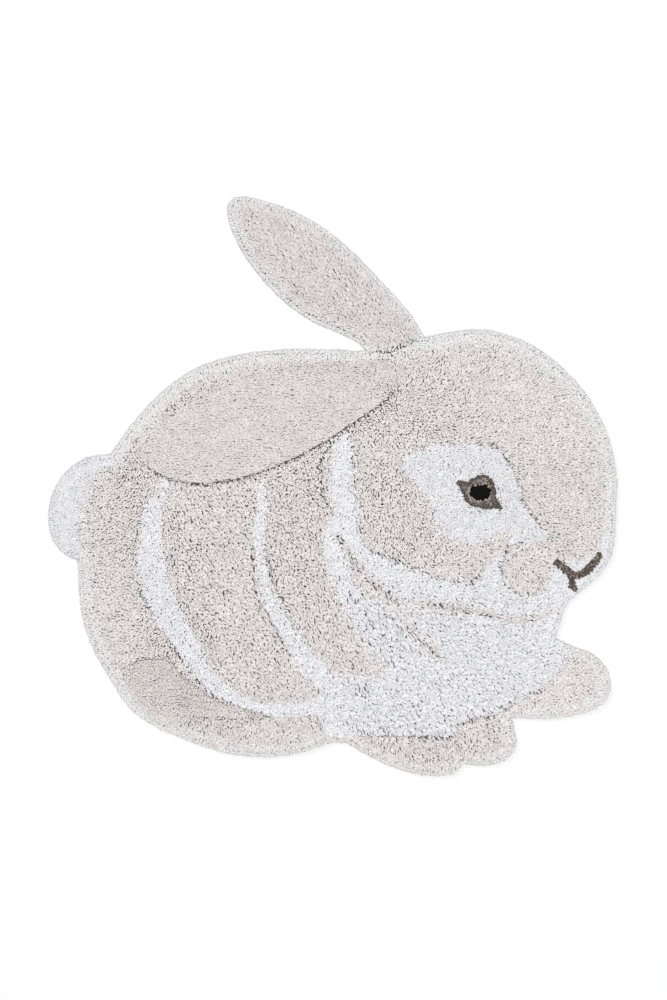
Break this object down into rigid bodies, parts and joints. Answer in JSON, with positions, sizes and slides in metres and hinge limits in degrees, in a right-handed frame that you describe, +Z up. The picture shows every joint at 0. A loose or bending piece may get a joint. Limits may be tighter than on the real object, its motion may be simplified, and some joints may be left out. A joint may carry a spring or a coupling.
{
  "type": "rabbit shaped kids rug",
  "caption": "Kids' rug tufted in one piece in the outline of a crouching rabbit, with a deep cut cotton pile, finer ears and a clipped hind foot. It lies flat on a floor.",
  "frame": {"origin": "on the floor, under the middle of the rug's bounding box", "axes": "+X towards the rabbit's nose, +Y towards its ears, +Z up out of the pile"},
  "size_m": [1.101, 1.1228, 0.023],
  "materials": {
    "grey_pile": "deep cut cotton pile, warm light grey",
    "white_pile": "deep cut cotton pile, white",
    "eye_pile": "cut cotton pile, mottled brown-grey with a near-black pupil",
    "mouth_pile": "cut cotton pile, dark brown-grey",
    "backing": "plain woven undyed cotton"
  },
  "bodies": {
    "root": {"rug": "grey_pile"}
  },
  "joints": []
}
